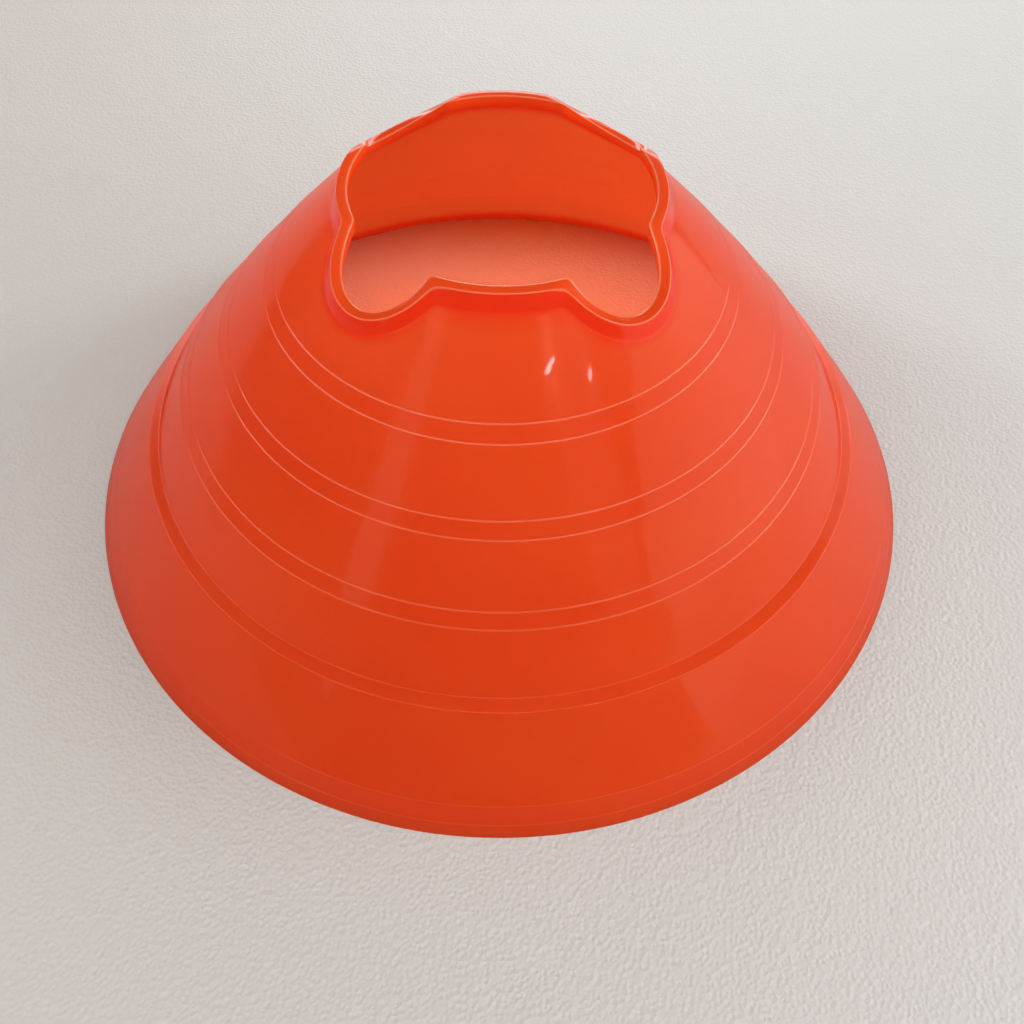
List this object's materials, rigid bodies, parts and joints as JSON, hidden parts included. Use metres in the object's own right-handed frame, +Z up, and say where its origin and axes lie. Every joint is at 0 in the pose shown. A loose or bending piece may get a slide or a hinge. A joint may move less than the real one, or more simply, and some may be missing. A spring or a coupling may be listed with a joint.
{
  "type": "sports marker cone",
  "caption": "Low, wide training marker cone in translucent orange plastic, with a lipped top opening notched for cross poles, raised ring bands, a stacking shelf and a flat foot.",
  "frame": {"origin": "centre of the foot, on the ground", "axes": "+Z up along the cone's axis; +X, -X, +Y and -Y each point at the middle of a tongue, and the pole notches lie on the diagonals"},
  "size_m": [0.2, 0.2, 0.0828],
  "materials": {
    "orange_plastic": "gloss"
  },
  "bodies": {
    "root": {"rim_lip": "orange_plastic", "crown_wall": "orange_plastic", "ring_band_3": "orange_plastic", "wall_band_3": "orange_plastic", "ring_band_2": "orange_plastic", "wall_band_2": "orange_plastic", "ring_band_1": "orange_plastic", "wall_band_1": "orange_plastic", "stacking_shelf": "orange_plastic", "skirt_wall": "orange_plastic", "hem_ring": "orange_plastic", "foot_edge": "orange_plastic"}
  },
  "joints": []
}
